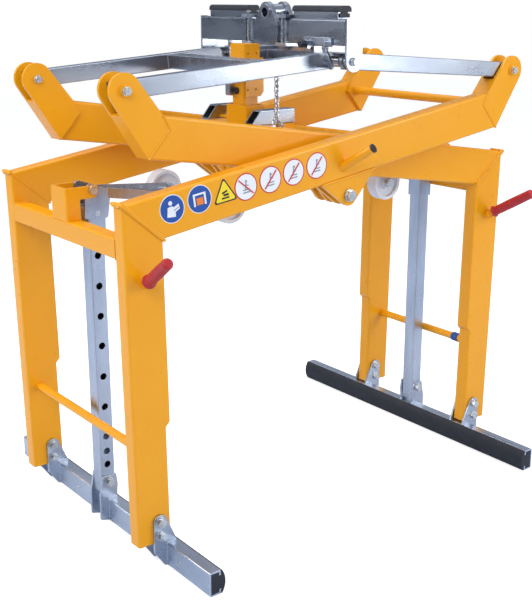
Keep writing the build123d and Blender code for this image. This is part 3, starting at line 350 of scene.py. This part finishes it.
def buildBeadTree():
    # a round bead along each curve, its radius rippled at an even pitch
    tree, ins, outs = newGeometryTree("weldBead", [("Radius", "NodeSocketFloat", weld["radius"]),
                                                   ("Step", "NodeSocketFloat", weld["step"]),
                                                   ("Ripple", "NodeSocketFloat", weld["ripple"]),
                                                   ("Pitch", "NodeSocketFloat", weld["pitch"]),
                                                   ("Finish", "NodeSocketMaterial", None)])
    resample = addNode(tree, "GeometryNodeResampleCurve", mode="LENGTH")
    along = addNode(tree, "GeometryNodeSplineParameter")
    phase = addNode(tree, "ShaderNodeMath", operation="DIVIDE")
    turns = addNode(tree, "ShaderNodeMath", operation="MULTIPLY")
    turns.inputs[1].default_value = 2 * pi
    wave = addNode(tree, "ShaderNodeMath", operation="SINE")
    swell = addNode(tree, "ShaderNodeMath", operation="MULTIPLY_ADD")
    scaled = addNode(tree, "ShaderNodeMath", operation="MULTIPLY")
    circle = addNode(tree, "GeometryNodeCurvePrimitiveCircle")
    circle.inputs["Resolution"].default_value = 8
    circle.inputs["Radius"].default_value = 1.0
    setRadius = addNode(tree, "GeometryNodeSetCurveRadius")
    toMesh = addNode(tree, "GeometryNodeCurveToMesh")
    toMesh.inputs["Fill Caps"].default_value = True
    smooth = addNode(tree, "GeometryNodeSetShadeSmooth")
    realize = addNode(tree, "GeometryNodeRealizeInstances")
    setMaterial = addNode(tree, "GeometryNodeSetMaterial")
    link = tree.links.new
    link(ins.outputs["Geometry"], resample.inputs["Curve"])
    link(ins.outputs["Step"], resample.inputs["Length"])
    link(along.outputs["Length"], phase.inputs[0])
    link(ins.outputs["Pitch"], phase.inputs[1])
    link(phase.outputs[0], turns.inputs[0])
    link(turns.outputs[0], wave.inputs[0])
    link(wave.outputs[0], swell.inputs[0])
    link(ins.outputs["Ripple"], swell.inputs[1])
    swell.inputs[2].default_value = 1.0
    link(swell.outputs[0], scaled.inputs[0])
    link(ins.outputs["Radius"], scaled.inputs[1])
    link(resample.outputs["Curve"], setRadius.inputs["Curve"])
    link(scaled.outputs[0], setRadius.inputs["Radius"])
    link(setRadius.outputs["Curve"], toMesh.inputs["Curve"])
    link(circle.outputs["Curve"], toMesh.inputs["Profile Curve"])
    if "Scale" in toMesh.inputs:
        link(scaled.outputs[0], toMesh.inputs["Scale"])
    link(toMesh.outputs["Mesh"], smooth.inputs["Geometry"])
    link(smooth.outputs["Geometry"], realize.inputs["Geometry"])
    link(realize.outputs["Geometry"], setMaterial.inputs["Geometry"])
    link(ins.outputs["Finish"], setMaterial.inputs["Material"])
    link(setMaterial.outputs["Geometry"], outs.inputs["Geometry"])
    return tree


beadTree = buildBeadTree()


def beadPiece(name, body, paths, finish, radius=weld["radius"]):
    source = pathObject(name + "Path", paths)
    settings = {"Radius": radius, "Step": weld["step"], "Ripple": weld["ripple"], "Pitch": weld["pitch"],
                "Finish": finish}
    return meshPiece(name, applyNodes(name, beadTree, settings, source), body)


def ringPath(centre, radius, axis, count=20):
    # a closed circle about an axis
    axis = Vector(axis).normalized()
    side = axis.orthogonal().normalized()
    other = axis.cross(side)
    angles = [2 * pi * i / count for i in range(count)]
    return [centre + radius * (cos(angle) * side + sin(angle) * other) for angle in angles], True


def armWelds(arm):
    half = halves[arm]
    inner = half - grab["armThickness"]
    paths = []
    outerX, innerX = -grab["legOuter"], -grab["legOuter"] + grab["legWidth"]
    corners = ((outerX, beamOver(outerX)), (innerX, beamUnder(innerX)))
    run = Vector((corners[1][0] - corners[0][0], corners[1][1] - corners[0][1])).normalized()
    across = Vector((-run.y, run.x)) * (grab["mitreWidth"] / 2 + 0.0005)
    tubes = {"crossTop": -0.026, "crossFoot": -0.084, "crossIn": outerX + 0.050}
    for side in (-1, 1):
        for way in (-1, 1):
            ends = [(x + way * across.x, z + way * across.y) for x, z in corners]
            face = side * (half + 0.0002)
            paths.append(([armPoint(x, face, z, arm) for x, z in ends], False))
            reach = (side * (half - 0.006), side * (inner + 0.006))
            paths.append(([armPoint(ends[0][0], y, ends[0][1], arm) for y in reach], False))
        cross = [(outerX + 0.002, tubes["crossTop"]), (tubes["crossIn"], tubes["crossTop"]),
                 (tubes["crossIn"], tubes["crossFoot"]), (outerX + 0.002, tubes["crossFoot"])]
        paths.append(([armPoint(x, side * inner, z, arm) for x, z in cross], False))
        axis = armPoint(0, 1, 0, arm) - armPoint(0, 0, 0, arm)
        tie = armPoint(outerX + 0.040, side * inner, -0.650, arm)
        paths.append(ringPath(tie, 0.0145, axis))
        if arm == "arm_a":
            paths.append(ringPath(armPoint(0.640, side * (half - 0.066), 0.232, arm), 0.016, axis))
        earLine = [(0.6187, beamOver(0.6187)), (0.598, 0.231), (0.667, beamUnder(0.667))]
        for y in (side * (half + 0.0002), side * (inner - 0.0002)):
            paths.append(([armPoint(x, y, z, arm) for x, z in earLine], False))
        lugTop = [(x, beamUnder(x)) for x in (-0.106, 0.106)]
        for y in (side * (half - 0.0002), side * (inner + 0.0002)):
            paths.append(([armPoint(x, y, z, arm) for x, z in lugTop], False))
    return paths


for arm in halves:
    beadPiece("welds_" + arm, arm, armWelds(arm), finishes["paint"])


def jawWelds(arm):
    # the bracket plates and the strut's clevis, along the rail
    side = -1 if arm == "arm_a" else 1
    half = halves[arm]
    rail = {"outer": 0.6953, "top": 0.0752, "foot": 0.012, "inner": 0.668}
    line = [(rail["outer"], rail["foot"]), (rail["outer"], rail["top"]), (rail["inner"], rail["top"])]
    inside = half - grab["armThickness"] - 0.009
    paths = []
    for end in (-1, 1):
        for y in (half + 0.001, half + 0.009, inside, inside + 0.008, 0.026, 0.034):
            paths.append(([Vector((side * x, end * y, z)) for x, z in line], False))
    return paths


for arm, jaw in jawOf.items():
    beadPiece("welds_" + jaw, jaw, jawWelds(arm), finishes["zinc"], radius=weld["jawRadius"])


def linkWelds(link, half):
    # where the cross tube meets the two bars
    side = 1 if link == "link_right" else -1
    mid = half - 0.033
    reach = mid - 0.020
    ear = armPoint(0.736, 0, 0.338)
    ear = Vector((abs(ear.x), 0, ear.z))
    headZ = 0.402 + grab["pivotHeight"]
    run = Vector((-ear.x, 0, headZ - ear.z))
    length = run.length
    along = run.normalized()
    up = Vector((-along.z, 0, along.x)) * -1
    centre = ear + along * (length - 0.235)
    loop = [centre + 0.023 * (a * along + b * up) for a, b in ((-1, -1), (1, -1), (1, 1), (-1, 1))]
    paths = []
    for end in (-1, 1):
        paths.append(([Vector((side * p.x, end * reach, p.z)) for p in loop], True))
    return paths


for linkName, half in (("link_right", grab["outerHalf"]), ("link_left", grab["innerHalf"])):
    paths = linkWelds(linkName, half)
    beadPiece("welds_" + linkName, linkName, paths, finishes["zinc"], radius=weld["linkRadius"])
print("welds laid")


# ---- grips ----
grip = {"stubInset": 0.060, "depth": 0.156, "direction": (-0.15, -0.84, 0.50), "start": 0.034,
        "length": 0.168,
        "radius": 0.0160, "ribs": 25, "ribDepth": 0.0007, "flange": 0.0205}


def gripProfile():
    # radius against distance along the grip: a flange at the leg, ribs, and a rounded end
    outline = [(grip["start"], 0.0105), (grip["start"], grip["flange"] - 0.001),
               (grip["start"] + 0.001, grip["flange"]), (grip["start"] + 0.004, grip["flange"]),
               (grip["start"] + 0.006, grip["radius"] + 0.0015)]
    ribbed = grip["length"] - 0.026
    steps = grip["ribs"] * 6
    for i in range(steps + 1):
        t = grip["start"] + 0.009 + ribbed * i / steps
        swell = 0.0008 * sin(pi * i / steps)
        outline.append((t, grip["radius"] + swell - grip["ribDepth"] * (0.5 - 0.5 * cos(2 * pi * i / 6))))
    last = grip["start"] + grip["length"]
    for i in range(9):
        angle = pi / 2 * i / 8
        outline.append((last - 0.008 + 0.008 * sin(angle), grip["radius"] - 0.008 + 0.008 * cos(angle)))
    outline.append((last, 0.0))
    return outline


def latheMesh(name, outline, origin, axis, finish, segments=40):
    # an outline of distance and radius spun about an axis
    axis = Vector(axis).normalized()
    side = axis.orthogonal().normalized()
    other = axis.cross(side)
    mesh = bpy.data.meshes.new(name)
    shape = bmesh.new()
    rings = []
    for t, r in outline:
        if r <= 0:
            rings.append([shape.verts.new(origin + t * axis)])
        else:
            rings.append([shape.verts.new(origin + t * axis + r * (cos(2 * pi * i / segments) * side
                                                                  + sin(2 * pi * i / segments) * other))
                          for i in range(segments)])
    for first, second in zip(rings, rings[1:]):
        for i in range(segments):
            j = (i + 1) % segments
            if len(second) == 1:
                shape.faces.new((first[i], first[j], second[0]))
            else:
                shape.faces.new((first[i], first[j], second[j], second[i]))
    shape.faces.new(list(reversed(rings[0])))
    bmesh.ops.recalc_face_normals(shape, faces=shape.faces)
    shape.to_mesh(mesh)
    shape.free()
    mesh.materials.append(finish)
    smoothByAngle(mesh, 40)
    return mesh


for arm in halves:
    stub = Vector((-grab["legOuter"] + grip["stubInset"], -halves[arm], -grip["depth"]))
    direction = Vector(grip["direction"])
    origin = armPoint(*stub, arm)
    tip = armPoint(*(stub + direction), arm)
    mesh = latheMesh("ribbedGrip_" + arm, gripProfile(), origin, tip - origin, finishes["grip"])
    piece = meshPiece("ribbedGrip_" + arm, mesh, arm)
    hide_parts(arm + "_grip")
print("grips turned")


# ---- safety signs on the front beam ----
signs = {"radius": 0.040, "thickness": 0.0006, "layer": 0.00025,
         "places": ((-0.643, 0.034), (-0.553, 0.051), (-0.467, 0.056), (-0.394, 0.068), (-0.306, 0.080),
                    (-0.220, 0.093), (-0.132, 0.104)),
         "kinds": ("reader", "clampLoad", "warning", "banBack", "ban", "ban", "ban")}


def roundOutline(radius, count=48):
    return [(radius * cos(2 * pi * i / count), radius * sin(2 * pi * i / count)) for i in range(count)]


def roundedTriangle(size, corner):
    points = []
    for k in range(3):
        middle = radians(90 + 120 * k)
        centre = ((size - 2 * corner) * cos(middle), (size - 2 * corner) * sin(middle))
        for i in range(9):
            angle = middle + radians(-60 + 15 * i)
            points.append((centre[0] + corner * cos(angle), centre[1] + corner * sin(angle)))
    return points


def barOutline(x0, z0, x1, z1, width):
    run = Vector((x1 - x0, z1 - z0)).normalized()
    across = Vector((-run.y, run.x)) * width / 2
    return [(x0 + across.x, z0 + across.y), (x0 - across.x, z0 - across.y),
            (x1 - across.x, z1 - across.y), (x1 + across.x, z1 + across.y)]


def block(x0, x1, z0, z1):
    return [(x0, z0), (x1, z0), (x1, z1), (x0, z1)]


def moved(outline, x, z):
    return [(px + x, pz + z) for px, pz in outline]


def signLayers(kind):
    # flat outlines from the back to the front, each with its film
    r = signs["radius"]
    if kind == "reader":
        return [("white", roundOutline(r)), ("blue", roundOutline(r * 0.94)),
                ("white", moved(roundOutline(r * 0.16, 20), -0.004, r * 0.42)),
                ("white", [(-0.019, -0.020), (0.008, -0.024), (0.010, 0.000), (0.000, 0.008), (-0.014, 0.006)]),
                ("white", [(0.006, -0.012), (0.024, -0.004), (0.022, 0.010), (0.004, 0.003)]),
                ("blue", barOutline(0.005, -0.006, 0.021, 0.001, 0.0018))]
    if kind == "clampLoad":
        return [("white", roundOutline(r)), ("blue", roundOutline(r * 0.94)),
                ("white", block(-0.021, -0.015, -0.018, 0.016)), ("white", block(0.015, 0.021, -0.018, 0.016)),
                ("white", block(-0.021, 0.021, 0.012, 0.017)), ("orange", block(-0.011, 0.011, -0.016, 0.004))]
    if kind == "warning":
        return [("black", roundedTriangle(r * 1.22, 0.006)), ("yellow", roundedTriangle(r * 1.02, 0.004)),
                ("black", block(-0.013, 0.013, -0.014, -0.009)), ("black", block(-0.006, 0.012, -0.006, 0.000)),
                ("black", barOutline(-0.010, 0.003, 0.008, 0.008, 0.005))]
    lean = -1 if kind == "banBack" else 1
    reach = r * 0.72 * 0.7071
    reach *= 1.15
    return [("red", roundOutline(r)), ("white", roundOutline(r * 0.91)),
            ("grey", block(-0.012, 0.012, -0.018, -0.014)), ("grey", block(-0.012, 0.012, -0.010, -0.0065)),
            ("grey", moved(roundOutline(0.0038, 16), 0.002, 0.016)),
            ("grey", barOutline(0.001, 0.012, -0.003, -0.006, 0.0035)),
            ("grey", barOutline(-0.002, 0.006, 0.009, 0.003, 0.0024)),
            ("red", barOutline(-reach, -lean * reach, reach, lean * reach, 0.0036))]


def buildSign(name, kind, place):
    mesh = bpy.data.meshes.new(name)
    shape = bmesh.new()
    turn = atan2(slope, 1)
    usedFilms = []
    for level, (film, outline) in enumerate(signLayers(kind)):
        if film not in usedFilms:
            usedFilms.append(film)
        back = grab["outerHalf"] - 0.0002
        front = grab["outerHalf"] + signs["thickness"] + signs["layer"] * level
        loops = []
        for y in (-back, -front):
            loop = []
            for x, z in outline:
                px = place[0] + x * cos(turn) - z * sin(turn)
                pz = place[1] + z * cos(turn) + x * sin(turn)
                loop.append(shape.verts.new(Vector((px, y, pz + grab["pivotHeight"]))))
            loops.append(loop)
        faces = [shape.faces.new(loops[1]), shape.faces.new(list(reversed(loops[0])))]
        count = len(outline)
        for i in range(count):
            j = (i + 1) % count
            faces.append(shape.faces.new((loops[0][i], loops[0][j], loops[1][j], loops[1][i])))
        bmesh.ops.recalc_face_normals(shape, faces=faces)
        for face in faces:
            face.material_index = usedFilms.index(film)
    shape.to_mesh(mesh)
    shape.free()
    for film in usedFilms:
        mesh.materials.append(films[film])
    return meshPiece(name, mesh, "arm_a")


for index, (kind, place) in enumerate(zip(signs["kinds"], signs["places"])):
    buildSign(f"sign{index + 1}_{kind}", kind, place)
print("signs placed:", len(signs["kinds"]))


# ---- cable band on the right-hand tie bar ----
band = {"y": (-0.185, -0.155), "radius": 0.0160}


def buildBand():
    centre = armPoint(-grab["legOuter"] + 0.040, 0, -0.650, "arm_b")
    y0, y1 = band["y"]
    outline = [(0.0, 0.0137), (0.0, band["radius"]), (0.001, band["radius"] + 0.0006),
               (y1 - y0 - 0.001, band["radius"] + 0.0006), (y1 - y0, band["radius"]), (y1 - y0, 0.0137)]
    start = Vector((centre.x, y0, centre.z))
    mesh = latheMesh("cableBand", outline, start, (0, 1, 0), films["blue"], segments=36)
    return meshPiece("cableBand", mesh, "arm_b")


buildBand()


# ---- screws that hold the rubber in the jaw rails ----
railScrew = {"outer": 0.6952, "height": 0.034, "places": (-0.442, 0.181), "radius": 0.0065, "head": 0.0030}


def buildScrewTree():
    # a low round head with a socket at every point of the source
    tree, ins, outs = newGeometryTree("railScrews", [("Radius", "NodeSocketFloat", railScrew["radius"]),
                                                     ("Head", "NodeSocketFloat", railScrew["head"]),
                                                     ("Turn", "NodeSocketVector", (0, radians(90), 0)),
                                                     ("Finish", "NodeSocketMaterial", None)])
    toPoints = addNode(tree, "GeometryNodeMeshToPoints")
    head = addNode(tree, "GeometryNodeMeshCylinder")
    head.inputs["Vertices"].default_value = 24
    socket = addNode(tree, "GeometryNodeMeshCylinder")
    socket.inputs["Vertices"].default_value = 6
    share = addNode(tree, "ShaderNodeMath", operation="MULTIPLY")
    share.inputs[1].default_value = 0.48
    lift = addNode(tree, "GeometryNodeTransform")
    liftBy = addNode(tree, "ShaderNodeCombineXYZ")
    rise = addNode(tree, "ShaderNodeMath", operation="MULTIPLY")
    rise.inputs[1].default_value = 0.6
    cut = addNode(tree, "GeometryNodeMeshBoolean", operation="DIFFERENCE")
    instances = addNode(tree, "GeometryNodeInstanceOnPoints")
    realize = addNode(tree, "GeometryNodeRealizeInstances")
    setMaterial = addNode(tree, "GeometryNodeSetMaterial")
    link = tree.links.new
    link(ins.outputs["Geometry"], toPoints.inputs["Mesh"])
    link(ins.outputs["Radius"], head.inputs["Radius"])
    link(ins.outputs["Head"], head.inputs["Depth"])
    link(ins.outputs["Radius"], share.inputs[0])
    link(share.outputs[0], socket.inputs["Radius"])
    link(ins.outputs["Head"], socket.inputs["Depth"])
    link(ins.outputs["Head"], rise.inputs[0])
    link(rise.outputs[0], liftBy.inputs["Z"])
    link(socket.outputs["Mesh"], lift.inputs["Geometry"])
    link(liftBy.outputs["Vector"], lift.inputs["Translation"])
    link(head.outputs["Mesh"], cut.inputs["Mesh 1"])
    link(lift.outputs["Geometry"], cut.inputs["Mesh 2"])
    link(toPoints.outputs["Points"], instances.inputs["Points"])
    link(cut.outputs["Mesh"], instances.inputs["Instance"])
    link(ins.outputs["Turn"], instances.inputs["Rotation"])
    link(instances.outputs["Instances"], realize.inputs["Geometry"])
    link(realize.outputs["Geometry"], setMaterial.inputs["Geometry"])
    link(ins.outputs["Finish"], setMaterial.inputs["Material"])
    link(setMaterial.outputs["Geometry"], outs.inputs["Geometry"])
    return tree


screwTree = buildScrewTree()


def pointObject(name, points):
    mesh = bpy.data.meshes.new(name)
    mesh.from_pydata([tuple(point) for point in points], [], [])
    holder = bpy.data.objects.new(name, mesh)
    scene.collection.objects.link(holder)
    return holder


for jaw, side in (("jaw_left", -1), ("jaw_right", 1)):
    places = [Vector((side * railScrew["outer"], y, railScrew["height"])) for y in railScrew["places"]]
    settings = {"Radius": railScrew["radius"], "Head": railScrew["head"], "Turn": (0, side * radians(90), 0),
                "Finish": finishes["bolt"]}
    mesh = applyNodes("screws_" + jaw, screwTree, settings, pointObject("screwPoints", places))
    meshPiece("screws_" + jaw, mesh, jaw)
print("rail screws placed")


# ---- room, light and camera ----
room = {"floorSize": 14.0, "floorColour": (0.90, 0.90, 0.90), "floorBounce": (0.62, 0.68, 0.78),
        "floorGlow": 0.50,
        "low": (0.085, 0.100, 0.140), "high": (0.66, 0.70, 0.78), "camera": (1.0, 1.0, 1.0)}


def buildWorld():
    # white where the camera sees it, a dark wall with a bright ceiling where the metal does
    world = bpy.data.worlds.new("studio")
    scene.world = world
    world.use_nodes = True
    tree = world.node_tree
    background = tree.nodes["Background"]
    coords = addNode(tree, "ShaderNodeTexCoord")
    split = addNode(tree, "ShaderNodeSeparateXYZ")
    tree.links.new(coords.outputs["Generated"], split.inputs["Vector"])
    rise = mapRange(tree, split.outputs["Z"], 0.10, 0.75)
    seen = addNode(tree, "ShaderNodeMix", data_type="RGBA")
    seen.inputs["A"].default_value = (*room["low"], 1)
    seen.inputs["B"].default_value = (*room["high"], 1)
    tree.links.new(rise, seen.inputs["Factor"])
    path = addNode(tree, "ShaderNodeLightPath")
    choose = addNode(tree, "ShaderNodeMix", data_type="RGBA")
    choose.inputs["B"].default_value = (*room["camera"], 1)
    tree.links.new(seen.outputs["Result"], choose.inputs["A"])
    tree.links.new(path.outputs["Is Camera Ray"], choose.inputs["Factor"])
    tree.links.new(choose.outputs["Result"], background.inputs["Color"])


def buildRoom():
    floorMaterial = bpy.data.materials.new("paleFloor")
    floorMaterial.use_nodes = True
    tree = floorMaterial.node_tree
    shader = tree.nodes["Principled BSDF"]
    path = addNode(tree, "ShaderNodeLightPath")
    tone = addNode(tree, "ShaderNodeMix", data_type="RGBA")
    tone.inputs["A"].default_value = (*room["floorBounce"], 1)
    tone.inputs["B"].default_value = (*room["floorColour"], 1)
    tree.links.new(path.outputs["Is Camera Ray"], tone.inputs["Factor"])
    tree.links.new(tone.outputs["Result"], shader.inputs["Base Color"])
    shader.inputs["Roughness"].default_value = 0.75
    shader.inputs["Emission Color"].default_value = (1, 1, 1, 1)
    tree.links.new(mapRange(tree, path.outputs["Is Camera Ray"], 0.0, 1.0, 0.0, room["floorGlow"]),
                   shader.inputs["Emission Strength"])
    mesh = bpy.data.meshes.new("floor")
    size = room["floorSize"]
    corners = [(-size, -size, 0), (size, -size, 0), (size, size, 0), (-size, size, 0)]
    mesh.from_pydata(corners, [], [(0, 1, 2, 3)])
    mesh.materials.append(floorMaterial)
    floor = bpy.data.objects.new("floor", mesh)
    scene.collection.objects.link(floor)


def areaLight(name, place, target, size, power, colour=(1, 1, 1)):
    light = bpy.data.lights.new(name, "AREA")
    light.shape = "RECTANGLE"
    light.size, light.size_y = size
    light.energy = power
    light.color = colour
    holder = bpy.data.objects.new(name, light)
    holder.location = place
    holder.rotation_euler = (Vector(target) - Vector(place)).to_track_quat("-Z", "Y").to_euler()
    scene.collection.objects.link(holder)


lights = {
    "keyLight": {"place": (-3.6, -2.6, 3.6), "target": (0, 0, 0.7), "size": (2.4, 2.4), "power": 98},
    "fillLight": {"place": (2.6, -3.6, 2.2), "target": (0, 0, 0.8), "size": (1.4, 2.6), "power": 84},
    "topLight": {"place": (0.4, 0.8, 5.0), "target": (0, 0, 0.8), "size": (3.6, 3.6), "power": 92},
    "sideLight": {"place": (-3.6, 2.4, 2.6), "target": (-1.4, 1.0, 0.1), "size": (2.0, 2.0), "power": 75}}
camera = {"place": (-2.1385, -2.7436, 1.6151), "yaw": 37.44, "pitch": 16.14, "lens": 62.7}


def buildCamera():
    data = bpy.data.cameras.new("viewCamera")
    data.lens = camera["lens"]
    data.sensor_width = 36.0
    data.sensor_fit = "AUTO"
    data.clip_start = 0.05
    data.clip_end = 60.0
    holder = bpy.data.objects.new("viewCamera", data)
    holder.location = camera["place"]
    holder.rotation_euler = (radians(90 - camera["pitch"]), 0, radians(-camera["yaw"]))
    scene.collection.objects.link(holder)
    scene.camera = holder


buildWorld()
buildRoom()
for name, look in lights.items():
    areaLight(name, **look)
buildCamera()
scene.view_settings.view_transform = "Standard"
print("room ready")
